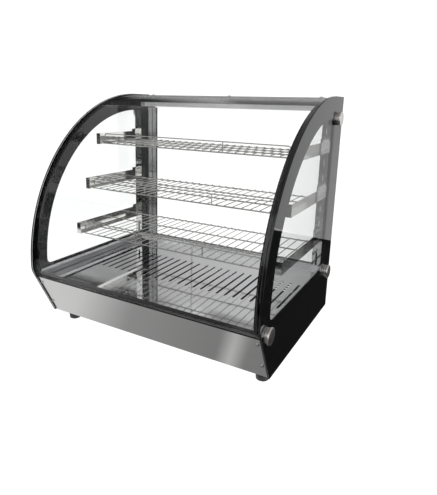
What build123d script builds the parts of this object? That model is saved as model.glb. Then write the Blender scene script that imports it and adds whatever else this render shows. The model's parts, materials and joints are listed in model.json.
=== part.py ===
from build123d import *
import os
from math import cos, radians, sin, tan

os.makedirs("parts", exist_ok=True)

# Frame: +X to the viewer's right, +Y from the curved front to the serving side, +Z up.
# The origin lies on the counter, under the middle of the case. All sizes are millimetres.

# ---------------------------------------------------------------- overall sizes
WIDTH = 700  # over the outer faces of the two side glasses
DEPTH = 580  # curved front to the tip of the thermostat knob
HEIGHT = 678  # counter to the top edge of the side glasses
FOOT_H = 30  # counter to the underside of the base
KNOB_REACH = 21  # what stands behind the rear edge of the side glasses

# ---------------------------------------------------------------- glass
GLASS_T = 5
TOP_FLAT = 83.4  # flat part of the top edge, in front of the rear edge
CROWN_ANGLE = 43  # turn of the upper arc; the lower arc goes on to the vertical
UPRIGHT_Z = 192.4  # height at which the front stands upright
BEND_R = 60  # turn from the vertical into the leaning base
LEAN = 26.6  # lean of the fascia from the vertical
FRONT_INSET = 4  # curved glass and fascia lie this far inside the side outline
GLASS_GAP = 1.5  # side glass to the metalwork, filled by rubber washers
GLASS_CORNER_R = 4
FIT = 0.3  # gap between pieces that seat on one another
ROUND_SIDES = 20  # sides of the rounds that repeat: caps, feet
SMALL_SIDES = 12  # sides of small bores and studs
GASKET_T = 1.5

# ---------------------------------------------------------------- glass fixings
CAP_FRONT_IN, CAP_FRONT_Z = 40, 158  # from the front and the counter
CAP_REAR_IN, CAP_REAR_Z = 46, 159  # from the rear edge and the counter
CAP_TOP_IN, CAP_TOP_DOWN = 54, 61  # from the rear and the top edge
CAP_BORE = 9
STUD_D = 8
CAP_NUT_D, CAP_NUT_T = 14, 5
WASHER_D = 22
CAP_TIERS = ((36, 6), (40, 6))  # diameter and length of each tier, outwards

# ---------------------------------------------------------------- sheet metal base
SHEET = 1.2
FRAME_T = 1.5
FASCIA_TOP = 155.5
LIP = 12
DECK_TOP = 150
DECK_GAP = 4  # deck edge to the base wall
LEDGE_W = 14
WALL_TOP = 174
TRIM_BOTTOM = 167
SLOT_PITCH = 24.9
SLOT_COUNT = 13
SLOT_FIRST = 15  # first slot of each group, from the middle of the deck
SLOT_L = 181
SLOT_W = 6.5
SLOT_REAR_IN = 94  # rear ends of the slots to the uprights
CROSS_H = 31
FLOOR_VENT_PITCH, FLOOR_VENT_COUNT = 24, 6
FLOOR_VENT_W, FLOOR_VENT_L = 5, 70

# ---------------------------------------------------------------- uprights and top
PILLAR_W = 26
PILLAR_D = 84
PILLAR_REAR_IN = 2  # upright to the rear edge of the glass
BEAM_H = 17
BEAM_DOWN = 4  # top edge of the glass to the top of the beam
HOOK_PITCH = 44.5
HOOK_H = 12
HOOK_DROP = 4
HOOK_RISE = 6  # frame wire of a shelf to the lower edge of its hook slot
HOOK_COUNT = 8
HOOK_SLOT_W = 2.1
WIRING_Z, WIRING_H, WIRING_W = 205, 40, 6  # wiring slot near the foot of the upright

# ---------------------------------------------------------------- lamp
LAMP_SET = 19  # front of the uprights to the front of the lamp
LAMP_DEPTH = 40
LAMP_H = 20
LAMP_WALL = 1.5
LED_PITCH = 30

# ---------------------------------------------------------------- wire shelves
SHELF_SIDE_IN = 15.5  # side metal to the frame wire
SHELF_REAR_IN = 3  # uprights to the frame wire
FRAME_WIRE = 4
RACK_WIRE = 2.6
LIP_WIRE = 3
RACK_PITCH = 25
SHELF_CORNER_R = 10
LIP_SIDE_IN = 28  # frame wire to the upright end of the lip
LIP_H = 29
LIP_CORNER = 6
POST_X = 110
# name: height of the frame wire, depth of the shelf
SHELVES = {"top": (523, 206), "middle": (389.5, 259), "bottom": (256, 304)}

# ---------------------------------------------------------------- brackets
BRACKET_GAP = 1.5
FLANGE_W = 13
WEB_ABOVE = 29
EAR_L = 34
EAR_ABOVE = 37
LUG_L = 20  # lug that wraps round the inner edge of the upright

# ---------------------------------------------------------------- rear doors
TRACK_D = 18
TRACK_INSET = 1  # rear edge of the upright to the rear of the track
TRACK_GROOVE = 6
TRACK_WALL = 1.5
TRACK_LOW_H = 14.2
TRACK_TOP_H = 21
DOOR_T = 4
DOOR_LIFT = 13.5  # room over a pane, to lift it out of its lower groove
DOOR_OVERLAP = 20
STILE_W = 16
STILE_GAP = 3  # to the tracks, above and below
PULL_REACH = 14
PULL_T = 3

# ---------------------------------------------------------------- controls and drawer
PANEL_TOP = 148
DRAWER_SIDE_IN, DRAWER_PILOT_GAP = 54, 74
DRAWER_Z0, DRAWER_Z1 = 64, 100
DRAWER_L = 349
DRAWER_WALL = 1.0
DRAWER_RUNNER_L = 180
RUNNER_GAP = 1.5
DRAWER_LAP = 8  # how far the drawer front laps over its opening
HANDLE_REACH = 16
KNOB_D = 34
KNOB_SIDE_IN, KNOB_Z = 70, 104
KNOB_GRIP_L, KNOB_GRIP_W = 10, 11
KNOB_TAPER = 4
SHAFT_L = 20
THERMOSTAT_W, THERMOSTAT_H, THERMOSTAT_L = 36, 26, 32
TAB_W, TAB_T, TAB_L, TAB_PITCH = 6, 1, 7, 12
SHAFT_D = 6
SHAFT_PLAY = 0.1
SWITCH_Z = 104
POWER_STEP, LIGHT_STEP, PILOT_STEP = 70, 40, 40  # each from its right neighbour
ROCKER_W, ROCKER_R, PIVOT_DEPTH = 11, 8, 3
SWITCH_W, SWITCH_H, SWITCH_L = 16, 24, 18
SWITCH_RIM = 1.5
BEZEL_T = 2
PILOT_D, PILOT_L = 12, 22
GLAND_SIDE_IN, GLAND_Z = 50, 58
GLAND_D, GLAND_NUT_T = 20, 8
GLAND_REACH, GLAND_INSIDE = 14, 10
GLAND_TUBE_D = 16
CORD_BORE = 9
REAR_VENT_SIDE_IN, REAR_VENT_PITCH, REAR_VENT_COUNT = 170, 8, 4
REAR_VENT_L, REAR_VENT_H = 120, 4

# ---------------------------------------------------------------- heater, feet, fasteners
ELEMENT_D = 8
ELEMENT_SIDE_IN = 60
ELEMENT_Y = (-60, 60)
ELEMENT_Z = 46
FOOT_LEFT_IN, FOOT_RIGHT_IN = 46, 33
FOOT_FRONT_IN, FOOT_REAR_IN = 115, 44
FOOT_D, FOOT_TOE_D = 38, 32
SCREW_HEAD_D, SCREW_HEAD_H = 8, 2.2
BIG_HEAD_D, BIG_HEAD_H = 10, 3.2
TERMINAL_SIDE_IN, TERMINAL_REAR_IN = 122, 69
TERMINAL_W, TERMINAL_D, TERMINAL_H = 48, 20, 8
TERMINAL_POLE_W, TERMINAL_POLE_D, TERMINAL_POLE_H, TERMINAL_PITCH = 9, 12, 6, 12

# ---------------------------------------------------------------- sizes that follow
FRONT_Y = -DEPTH / 2
REAR_Y = DEPTH / 2 - KNOB_REACH
INNER_X = WIDTH / 2 - GLASS_T
METAL_X = INNER_X - GLASS_GAP
WALL_X = METAL_X - FRAME_T
SLOPE = tan(radians(LEAN))
CROWN_Y = REAR_Y - TOP_FLAT
CURVE_D = CROWN_Y - FRONT_Y
CURVE_H = HEIGHT - UPRIGHT_Z
TURN_SIN, TURN_COS = sin(radians(CROWN_ANGLE)), cos(radians(CROWN_ANGLE))
ARC_STEP = (CURVE_H - CURVE_D) / (TURN_SIN + TURN_COS - 1)
FRONT_R = CURVE_D + ARC_STEP * TURN_SIN  # lower arc of the side outline
CROWN_R = FRONT_R - ARC_STEP  # upper arc, tangent to the flat top
CAP_POINTS = (
    (FRONT_Y + CAP_FRONT_IN, CAP_FRONT_Z),
    (REAR_Y - CAP_REAR_IN, CAP_REAR_Z),
    (REAR_Y - CAP_TOP_IN, HEIGHT - CAP_TOP_DOWN),
)
FLOOR_Z = FOOT_H + SHEET
FLOOR_TOP = FLOOR_Z + FRAME_T
DECK_UNDER = DECK_TOP - SHEET
DECK_X = WALL_X - DECK_GAP
PANEL_Y = REAR_Y - SHEET
PANEL_OUT = REAR_Y
PILLAR_X = METAL_X - PILLAR_W
PILLAR_REAR = REAR_Y - PILLAR_REAR_IN
PILLAR_Y = PILLAR_REAR - PILLAR_D
BEAM_TOP = HEIGHT - BEAM_DOWN
BEAM_UNDER = BEAM_TOP - BEAM_H
SHELF_X = METAL_X - SHELF_SIDE_IN
SHELF_REAR = PILLAR_Y - SHELF_REAR_IN
LIP_X = SHELF_X - LIP_SIDE_IN
TRACK_REAR = PILLAR_REAR - TRACK_INSET
TRACK_Y = TRACK_REAR - TRACK_D
TRACK_X = PILLAR_X - FIT
GROOVE_FRONT = TRACK_Y + TRACK_WALL
GROOVE_REAR = TRACK_REAR - TRACK_WALL - TRACK_GROOVE
DOOR_BOTTOM = DECK_UNDER + TRACK_WALL + FIT
DOOR_PLAY = (TRACK_GROOVE - DOOR_T) / 2
WEB_X = SHELF_X + BRACKET_GAP
WIRE_R = FRAME_WIRE / 2
WIRE_TIP = WIRE_R / cos(radians(30))  # half width of a hexagonal wire over its corners
HOOK_SLOT_H = HOOK_H + HOOK_DROP + 2 * FIT
HOOK_LOWEST = SHELVES["bottom"][0] + HOOK_RISE
LAMP_TOP = BEAM_UNDER
LAMP_FRONT = PILLAR_Y + LAMP_SET
DOOR_TOP = BEAM_UNDER - TRACK_WALL - DOOR_LIFT
DRAWER_X0 = DRAWER_SIDE_IN - WIDTH / 2
DRAWER_FRONT = PANEL_OUT - DRAWER_L
KNOB_X = WIDTH / 2 - KNOB_SIDE_IN
POWER_X = KNOB_X - POWER_STEP
LIGHT_X = POWER_X - LIGHT_STEP
PILOT_X = LIGHT_X - PILOT_STEP
DRAWER_X1 = PILOT_X - DRAWER_PILOT_GAP
GLAND_X = WIDTH / 2 - GLAND_SIDE_IN
ELEMENT_X = WIDTH / 2 - ELEMENT_SIDE_IN
FOOT_X = (FOOT_LEFT_IN - WIDTH / 2, WIDTH / 2 - FOOT_RIGHT_IN)
FOOT_Y = (FRONT_Y + FOOT_FRONT_IN, REAR_Y - FOOT_REAR_IN)


# ---------------------------------------------------------------- shared outlines
def front_edge(inset, low_z):
    """Curved front edge, `inset` inside the side outline, drawn down to the height low_z."""
    crown = JernArc((CROWN_Y, HEIGHT - inset), (-1, 0), CROWN_R - inset, CROWN_ANGLE)
    front = JernArc(crown @ 1, crown % 1, FRONT_R - inset, 90 - CROWN_ANGLE)
    bend = JernArc(front @ 1, front % 1, BEND_R - inset, LEAN)
    drop = (bend @ 1).Y - low_z
    toe = Line(bend @ 1, bend @ 1 + Vector(drop * SLOPE, -drop))
    return crown, front, bend, toe


def lean_y(z, inset):
    """Y of the leaning base face at height z, `inset` inside the side outline."""
    radius = BEND_R - inset
    end_y = FRONT_Y + inset + radius * (1 - cos(radians(LEAN)))
    end_z = UPRIGHT_Z - radius * sin(radians(LEAN))
    return end_y + (end_z - z) * SLOPE


def spread(a0, a1, b0, b1, mode=Mode.ADD):
    """Rectangle between two values of each sketch axis."""
    with Locations(((a0 + a1) / 2, (b0 + b1) / 2)):
        Rectangle(abs(a1 - a0), abs(b1 - b0), mode=mode)


def small_round(diameter, mode=Mode.ADD):
    """Small bore or stud, drawn with few sides."""
    RegularPolygon(diameter / 2, SMALL_SIDES, mode=mode)


def save(piece, name):
    piece.part.label = name
    export_step(piece.part, f"parts/{name}.step")


# ---------------------------------------------------------------- glass
def side_glass(side):
    """One-piece side panel from the underside of the base to the top of the case."""
    with BuildPart() as glass:
        with BuildSketch(Plane.YZ.offset(side * INNER_X)):
            with BuildLine():
                edge = front_edge(0, FOOT_H)
                Polyline(edge[0] @ 0, (REAR_Y, HEIGHT), (REAR_Y, FOOT_H), edge[-1] @ 1)
            make_face()
            with Locations(*CAP_POINTS):
                small_round(CAP_BORE, Mode.SUBTRACT)
        extrude(amount=side * GLASS_T)
        fillet(glass.edges().filter_by(Axis.X).group_by(Axis.Y)[-1], GLASS_CORNER_R)
    return glass


save(side_glass(-1), "side_glass_left")
save(side_glass(1), "side_glass_right")

GLASS_LOW = FASCIA_TOP + GASKET_T
with BuildPart() as front_glass:
    with BuildSketch(Plane.YZ):
        with BuildLine():
            outer_edge = front_edge(FRONT_INSET, GLASS_LOW)
            inner_edge = front_edge(FRONT_INSET + GLASS_T, GLASS_LOW)
            Line(outer_edge[0] @ 0, inner_edge[0] @ 0)
            Line(outer_edge[-1] @ 1, inner_edge[-1] @ 1)
        make_face()
    extrude(amount=INNER_X - FIT, both=True)
    fillet(front_glass.edges().filter_by(Axis.Y).group_by(Axis.Z)[0], 3 * GLASS_T / 2)
save(front_glass, "front_glass")

with BuildPart() as glass_gasket:
    with BuildSketch(Plane.XY.offset(FASCIA_TOP)):
        seat_y = lean_y(GLASS_LOW, FRONT_INSET)
        spread(-METAL_X, METAL_X, seat_y + FIT, seat_y + GLASS_T)
    extrude(amount=GASKET_T)
save(glass_gasket, "glass_gasket")


# ---------------------------------------------------------------- caps and washers
def side_caps(side):
    """Three stepped metal caps of one side glass, each with its stud."""
    with BuildPart() as caps:
        reach = WIDTH / 2
        for diameter, length in CAP_TIERS:
            with BuildSketch(Plane.YZ.offset(side * reach)):
                with Locations(*CAP_POINTS):
                    RegularPolygon(diameter / 2, ROUND_SIDES)
            extrude(amount=side * length)
            reach += length
        with BuildSketch(Plane.YZ.offset(side * WALL_X)):
            with Locations(*CAP_POINTS):
                small_round(STUD_D)
        extrude(amount=side * (WIDTH / 2 - WALL_X))
    return caps


save(side_caps(-1), "side_caps_left")
save(side_caps(1), "side_caps_right")

with BuildPart() as glass_washers:
    for side in (-1, 1):
        with BuildSketch(Plane.YZ.offset(side * METAL_X)):
            with Locations(*CAP_POINTS):
                small_round(WASHER_D)
                small_round(CAP_BORE, Mode.SUBTRACT)
        extrude(amount=side * GLASS_GAP)
save(glass_washers, "glass_washers")

with BuildPart() as cap_nuts:
    for side in (-1, 1):
        with BuildSketch(Plane.YZ.offset(side * WALL_X)):
            with Locations(*CAP_POINTS):
                RegularPolygon(CAP_NUT_D / 2, 6)
        extrude(amount=-side * CAP_NUT_T)
save(cap_nuts, "cap_nuts")

# ---------------------------------------------------------------- base
FASCIA_BACK = FRONT_INSET + SHEET
FASCIA_LIP_Y = lean_y(FASCIA_TOP, FRONT_INSET) + LIP
DECK_FRONT = FASCIA_LIP_Y + FIT

with BuildPart() as chassis:
    with BuildSketch(Plane.XZ.offset(-PANEL_Y)):
        spread(-METAL_X, METAL_X, FLOOR_Z, WALL_TOP)
        spread(-WALL_X, WALL_X, FLOOR_TOP, WALL_TOP, Mode.SUBTRACT)
        for side in (-1, 1):
            spread(side * WALL_X, side * (WALL_X - LEDGE_W), DECK_UNDER - FRAME_T, DECK_UNDER)
    extrude(amount=PANEL_Y - FRONT_Y)
    lip_under = FASCIA_TOP - SHEET
    with BuildSketch(Plane.YZ):
        with BuildLine():
            Polyline(
                (lean_y(FLOOR_Z, FASCIA_BACK), FLOOR_Z),
                (lean_y(lip_under, FASCIA_BACK), lip_under),
                (FASCIA_LIP_Y + FIT, lip_under),
                (FASCIA_LIP_Y + FIT, WALL_TOP),
                (PILLAR_Y - FIT, WALL_TOP),
                (PILLAR_Y - FIT, DECK_UNDER - FRAME_T),
                (PANEL_Y, DECK_UNDER - FRAME_T),
                (PANEL_Y, FLOOR_Z),
                close=True,
            )
        make_face()
        with Locations(CAP_POINTS[0]):
            small_round(STUD_D, Mode.SUBTRACT)
    extrude(amount=METAL_X, both=True, mode=Mode.INTERSECT)
    with BuildSketch(Plane.XY.offset(FLOOR_Z)):
        for x in (-ELEMENT_X / 2, ELEMENT_X / 2):
            with Locations((x, sum(ELEMENT_Y) / 2)):
                with GridLocations(FLOOR_VENT_PITCH, 0, FLOOR_VENT_COUNT, 1):
                    Rectangle(FLOOR_VENT_W, FLOOR_VENT_L)
    extrude(amount=FRAME_T, mode=Mode.SUBTRACT)
save(chassis, "chassis")

with BuildPart() as cross_member:
    with BuildSketch(Plane.YZ):
        spread(PILLAR_Y, PANEL_Y, DECK_UNDER - CROSS_H, DECK_UNDER)
        spread(PILLAR_Y + FRAME_T, PANEL_Y - FRAME_T, 0, DECK_UNDER - FRAME_T, Mode.SUBTRACT)
    extrude(amount=WALL_X, both=True)
save(cross_member, "cross_member")

LEAN_PLANE = Plane(
    origin=(0, lean_y(FOOT_H, FRONT_INSET), FOOT_H),
    x_dir=(1, 0, 0),
    z_dir=(0, -cos(radians(LEAN)), -sin(radians(LEAN))),
)
FASCIA_H = (FASCIA_TOP - FOOT_H) / cos(radians(LEAN))
FASCIA_X = INNER_X - FIT
SCREW_EDGE = 9
FASCIA_SCREWS = [(x, v) for x in (SCREW_EDGE - FASCIA_X, FASCIA_X - SCREW_EDGE)
                 for v in (0.3 * FASCIA_H, FASCIA_H - 2.2 * SCREW_EDGE)]

with BuildPart() as fascia:
    with BuildSketch(Plane.YZ):
        with BuildLine():
            toe_y = lean_y(FOOT_H, FRONT_INSET)
            Polyline(
                (toe_y, FOOT_H),
                (lean_y(FASCIA_TOP, FRONT_INSET), FASCIA_TOP),
                (FASCIA_LIP_Y, FASCIA_TOP),
                (FASCIA_LIP_Y, FASCIA_TOP - LIP / 2),
                (FASCIA_LIP_Y - SHEET, FASCIA_TOP - LIP / 2),
                (FASCIA_LIP_Y - SHEET, FASCIA_TOP - SHEET),
                (lean_y(FASCIA_TOP - SHEET, FASCIA_BACK), FASCIA_TOP - SHEET),
                (lean_y(FLOOR_Z, FASCIA_BACK), FLOOR_Z),
                (toe_y + LIP / 2, FLOOR_Z),
                (toe_y + LIP / 2, FOOT_H),
                close=True,
            )
        make_face()
    extrude(amount=FASCIA_X, both=True)
    for side in (-1, 1):
        with BuildSketch(Plane.YZ.offset(side * FASCIA_X)):
            spread(FASCIA_LIP_Y - SHEET, FASCIA_LIP_Y, FASCIA_TOP - LIP, FASCIA_TOP - SHEET)
        extrude(amount=-side * (FASCIA_X - WALL_X + LEDGE_W), mode=Mode.SUBTRACT)
save(fascia, "fascia")

with BuildPart() as fascia_screws:
    with BuildSketch(LEAN_PLANE):
        with Locations(*FASCIA_SCREWS):
            RegularPolygon(SCREW_HEAD_D / 2, 6)
    extrude(amount=SCREW_HEAD_H)
save(fascia_screws, "fascia_screws")

with BuildPart() as deck:
    with BuildSketch(Plane.XY.offset(DECK_UNDER)):
        spread(-DECK_X, DECK_X, DECK_FRONT, PILLAR_Y - GLASS_GAP)
        spread(-PILLAR_X + GLASS_GAP, PILLAR_X - GLASS_GAP, PILLAR_Y - GLASS_GAP, TRACK_Y - FIT)
        for side in (-1, 1):
            group_x = side * (SLOT_FIRST + SLOT_PITCH * (SLOT_COUNT - 1) / 2)
            with Locations((group_x, PILLAR_Y - SLOT_REAR_IN - SLOT_L / 2)):
                with GridLocations(SLOT_PITCH, 0, SLOT_COUNT, 1):
                    Rectangle(SLOT_W, SLOT_L - SLOT_W, mode=Mode.SUBTRACT)
                    Rectangle(SLOT_W / 2, SLOT_L, mode=Mode.SUBTRACT)
    extrude(amount=SHEET)
    fold_x = WALL_X - LEDGE_W - GLASS_GAP
    with BuildSketch(Plane.XY.offset(DECK_UNDER)):
        spread(-fold_x, fold_x, DECK_FRONT, DECK_FRONT + SHEET)
    extrude(amount=-LIP)
save(deck, "deck")


def deck_trim(side):
    """Brushed strip that covers the base wall beside the deck, with a folded top."""
    with BuildPart() as trim:
        with BuildSketch(Plane.XZ.offset(-(PILLAR_Y - GLASS_GAP))):
            spread(side * WALL_X, side * (WALL_X - SHEET), TRIM_BOTTOM, WALL_TOP)
            spread(side * METAL_X, side * (WALL_X - SHEET), WALL_TOP, WALL_TOP + SHEET)
        extrude(amount=PILLAR_Y - GLASS_GAP - DECK_FRONT)
    return trim


save(deck_trim(-1), "deck_trim_left")
save(deck_trim(1), "deck_trim_right")


# ---------------------------------------------------------------- uprights
def pillar(side):
    """Channel upright with a column of hook slots and a foot plate."""
    with BuildPart() as post:
        with BuildSketch(Plane.XY.offset(DECK_UNDER)):
            spread(side * PILLAR_X, side * METAL_X, PILLAR_Y, PILLAR_REAR)
            spread(
                side * (PILLAR_X + FRAME_T),
                side * WALL_X,
                PILLAR_Y + FRAME_T,
                PILLAR_REAR,
                Mode.SUBTRACT,
            )
        extrude(amount=BEAM_UNDER - DECK_UNDER)
        with BuildSketch(Plane.XY.offset(DECK_UNDER)):
            spread(side * PILLAR_X, side * METAL_X, PILLAR_Y, PILLAR_REAR)
        extrude(amount=FRAME_T)
        with BuildSketch(Plane.XZ.offset(-PILLAR_Y)):
            column_z = HOOK_LOWEST + HOOK_SLOT_H / 2 + HOOK_PITCH * (HOOK_COUNT - 1) / 2
            with Locations((side * (WEB_X + FRAME_T / 2), column_z)):
                with GridLocations(0, HOOK_PITCH, 1, HOOK_COUNT):
                    Rectangle(HOOK_SLOT_W, HOOK_SLOT_H)
            with Locations((side * (WEB_X + FRAME_T / 2), WIRING_Z)):
                Rectangle(WIRING_W, WIRING_H)
        extrude(amount=-FRAME_T, mode=Mode.SUBTRACT)
        with BuildSketch(Plane.YZ.offset(side * WALL_X)):
            with Locations(*CAP_POINTS[1:]):
                small_round(STUD_D)
        extrude(amount=side * FRAME_T, mode=Mode.SUBTRACT)
    return post


save(pillar(-1), "pillar_left")
save(pillar(1), "pillar_right")

with BuildPart() as pillar_screws:
    foot_spots = [(side * (PILLAR_X + PILLAR_W / 2), PILLAR_Y + PILLAR_D / 2 + step * PILLAR_D / 4)
                  for side in (-1, 1) for step in (-1, 1)]
    with BuildSketch(Plane.XY.offset(DECK_UNDER + FRAME_T)):
        with Locations(*foot_spots):
            RegularPolygon(SCREW_HEAD_D / 2, 6)
    extrude(amount=SCREW_HEAD_H)
save(pillar_screws, "pillar_screws")

# ---------------------------------------------------------------- top
BEAM_FRONT = CROWN_Y + GLASS_GAP
BEAM_REAR = REAR_Y - GLASS_GAP
GLASS_LEDGE = HEIGHT - FRONT_INSET - GLASS_T - FIT
with BuildPart() as top_beam:
    with BuildSketch(Plane.YZ):
        spread(BEAM_FRONT, BEAM_REAR, BEAM_UNDER, BEAM_TOP)
        spread(
            BEAM_FRONT + FRAME_T,
            BEAM_REAR - FRAME_T,
            BEAM_UNDER + FRAME_T,
            BEAM_TOP - FRAME_T,
            Mode.SUBTRACT,
        )
        spread(BEAM_FRONT - LIP, BEAM_FRONT, GLASS_LEDGE - FRAME_T, GLASS_LEDGE)
    extrude(amount=METAL_X, both=True)
save(top_beam, "top_beam")

BEAM_SCREW_SPAN = 296
COVER_SCREW_SPAN = 161.5
with BuildPart() as beam_screws:
    with BuildSketch(Plane.XY.offset(BEAM_TOP)):
        with Locations((0, (BEAM_FRONT + BEAM_REAR) / 2)):
            with GridLocations(BEAM_SCREW_SPAN, 0, 3, 1):
                RegularPolygon(BIG_HEAD_D / 2, 6)
    extrude(amount=BIG_HEAD_H)
    with BuildSketch(Plane.XY.offset(BEAM_UNDER)):
        with Locations((0, BEAM_FRONT + LIP / 2)):
            with GridLocations(COVER_SCREW_SPAN, 0, 3, 1):
                RegularPolygon(SCREW_HEAD_D / 2, 6)
    extrude(amount=-BIG_HEAD_H)
save(beam_screws, "beam_screws")

# ---------------------------------------------------------------- lamp
LAMP_REAR = LAMP_FRONT + LAMP_DEPTH
LAMP_BOTTOM = LAMP_TOP - LAMP_H
LAMP_X = PILLAR_X - GLASS_GAP
BASE_T = 2 * SHEET
with BuildPart() as lamp_base:
    with BuildSketch(Plane.YZ):
        inside = LAMP_WALL + FIT
        spread(LAMP_FRONT + inside, LAMP_REAR - inside, LAMP_TOP - BASE_T, LAMP_TOP)
    extrude(amount=LAMP_X - LAMP_WALL - FIT, both=True)
save(lamp_base, "lamp_base")

with BuildPart() as lamp_diffuser:
    with BuildSketch(Plane.YZ):
        spread(LAMP_FRONT, LAMP_REAR, LAMP_BOTTOM, LAMP_TOP)
    extrude(amount=LAMP_X, both=True)
    fillet(lamp_diffuser.edges().filter_by(Axis.X).group_by(Axis.Z)[0], 2 * LAMP_WALL)
    with BuildSketch(Plane.YZ):
        spread(LAMP_FRONT + LAMP_WALL, LAMP_REAR - LAMP_WALL, LAMP_BOTTOM + LAMP_WALL, LAMP_TOP)
    extrude(amount=LAMP_X - LAMP_WALL, both=True, mode=Mode.SUBTRACT)
save(lamp_diffuser, "lamp_diffuser")

with BuildPart() as led_strip:
    with BuildSketch(Plane.YZ):
        with Locations(((LAMP_FRONT + LAMP_REAR) / 2, LAMP_TOP - BASE_T - SHEET / 2)):
            Rectangle(LIP, SHEET)
    extrude(amount=LAMP_X - LIP, both=True)
    led_count = 2 * int((LAMP_X - 2 * LIP) / LED_PITCH) + 1
    with BuildSketch(Plane.XY.offset(LAMP_TOP - BASE_T - SHEET)):
        with Locations((0, (LAMP_FRONT + LAMP_REAR) / 2)):
            with GridLocations(LED_PITCH, 0, led_count, 1):
                Rectangle(LIP / 2, LIP / 2)
    extrude(amount=-1)
save(led_strip, "led_strip")


# ---------------------------------------------------------------- brackets
def bracket(side, frame_z, front_y):
    """Folded shelf bracket: web, floor flange, front tab and a rear end that hooks on the upright."""
    tab_y = front_y - FIT - SHEET
    low = frame_z - WIRE_R - FIT - FRAME_T
    high = frame_z + WEB_ABOVE
    ear_top = frame_z + EAR_ABOVE
    back_y = PILLAR_Y - FRAME_T
    lug_x = PILLAR_X - FIT
    hook_z = frame_z + HOOK_RISE + FIT
    hook_y = PILLAR_Y + FRAME_T + FIT
    with BuildPart() as arm:
        with BuildSketch(Plane.YZ.offset(side * WEB_X)):
            spread(tab_y, PILLAR_Y, low, high)
            spread(PILLAR_Y - EAR_L, PILLAR_Y, low, ear_top)
            spread(PILLAR_Y, hook_y + FRAME_T, hook_z, hook_z + HOOK_H)
            spread(hook_y, hook_y + FRAME_T, hook_z - HOOK_DROP, hook_z + HOOK_H)
        extrude(amount=side * FRAME_T)
        with BuildSketch(Plane.XY.offset(low)):
            spread(side * WEB_X, side * (WEB_X - FLANGE_W), tab_y, PILLAR_Y)
        extrude(amount=FRAME_T)
        with BuildSketch(Plane.XZ.offset(-tab_y)):
            spread(side * WEB_X, side * (WEB_X - FLANGE_W), low, high)
        extrude(amount=-SHEET)
        with BuildSketch(Plane.XY.offset(low)):
            spread(side * WEB_X, side * (lug_x - SHEET), back_y, PILLAR_Y)
            spread(side * lug_x, side * (lug_x - SHEET), back_y, PILLAR_Y + LUG_L)
        extrude(amount=ear_top - low)
    return arm


# ---------------------------------------------------------------- wire shelves
def wire_shelf(frame_z, front_y):
    """Welded shelf: frame wire, cross wires, rack wires and a front lip."""
    line_front = front_y + WIRE_TIP
    line_rear = SHELF_REAR - WIRE_TIP
    line_x = SHELF_X - WIRE_TIP
    rack_z = frame_z + WIRE_R + RACK_WIRE / 2
    rack_count = 2 * int((line_x - RACK_PITCH / 2) / RACK_PITCH) + 1
    with BuildPart() as shelf:
        with BuildLine(Plane.XY.offset(frame_z)):
            half_loop = FilletPolyline(
                (0, line_front),
                (line_x, line_front),
                (line_x, line_rear),
                (0, line_rear),
                radius=SHELF_CORNER_R,
            )
        with BuildSketch(Plane(origin=half_loop @ 0, x_dir=(0, 1, 0), z_dir=half_loop % 0)):
            RegularPolygon(WIRE_R, 6, major_radius=False)
        sweep(path=half_loop)
        mirror(about=Plane.YZ)
        with BuildSketch(Plane.YZ.offset(-line_x)):
            for share in (1 / 3, 2 / 3):
                with Locations((line_front + share * (line_rear - line_front), frame_z)):
                    RegularPolygon(WIRE_R, 6, major_radius=False)
        extrude(amount=2 * line_x)
        with BuildSketch(Plane.XZ.offset(-SHELF_REAR)):
            with Locations((0, rack_z)):
                with GridLocations(RACK_PITCH, 0, rack_count, 1):
                    RegularPolygon(RACK_WIRE / 2, 6, major_radius=False)
        extrude(amount=SHELF_REAR - front_y)
        with BuildLine(Plane.XZ.offset(-line_front)):
            rail = Polyline(
                (-LIP_X, frame_z),
                (-LIP_X, frame_z + LIP_H - LIP_CORNER),
                (-LIP_X + LIP_CORNER, frame_z + LIP_H),
                (LIP_X - LIP_CORNER, frame_z + LIP_H),
                (LIP_X, frame_z + LIP_H - LIP_CORNER),
                (LIP_X, frame_z),
            )
        with BuildSketch(Plane(origin=rail @ 0, x_dir=(1, 0, 0), z_dir=rail % 0)):
            RegularPolygon(LIP_WIRE / 2, 6)
        sweep(path=rail, transition=Transition.RIGHT)
        with BuildSketch(Plane.XY.offset(frame_z)):
            with Locations((-POST_X, line_front), (POST_X, line_front)):
                RegularPolygon(LIP_WIRE / 2, 6)
        extrude(amount=LIP_H)
    return shelf


for level, (level_z, level_depth) in SHELVES.items():
    level_front = SHELF_REAR - level_depth
    save(bracket(-1, level_z, level_front), f"bracket_{level}_left")
    save(bracket(1, level_z, level_front), f"bracket_{level}_right")
    save(wire_shelf(level_z, level_front), f"shelf_{level}")

# ---------------------------------------------------------------- rear doors
TRACK_END = TRACK_X - TRACK_WALL
with BuildPart() as track_bottom:
    with BuildSketch(Plane.YZ):
        spread(TRACK_Y, TRACK_REAR, DECK_UNDER, DECK_UNDER + TRACK_LOW_H)
    extrude(amount=TRACK_X, both=True)
    with BuildSketch(Plane.YZ):
        for groove_y in (GROOVE_FRONT, GROOVE_REAR):
            spread(
                groove_y,
                groove_y + TRACK_GROOVE,
                DECK_UNDER + TRACK_WALL,
                DECK_UNDER + TRACK_LOW_H,
            )
    extrude(amount=TRACK_END, both=True, mode=Mode.SUBTRACT)
save(track_bottom, "track_bottom")

with BuildPart() as track_top:
    with BuildSketch(Plane.YZ):
        spread(TRACK_Y, TRACK_REAR, BEAM_UNDER - TRACK_TOP_H, BEAM_UNDER)
    extrude(amount=TRACK_X, both=True)
    with BuildSketch(Plane.YZ):
        for groove_y in (GROOVE_FRONT, GROOVE_REAR):
            spread(
                groove_y,
                groove_y + TRACK_GROOVE,
                BEAM_UNDER - TRACK_TOP_H,
                BEAM_UNDER - TRACK_WALL,
            )
    extrude(amount=TRACK_END, both=True, mode=Mode.SUBTRACT)
save(track_top, "track_top")

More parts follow.
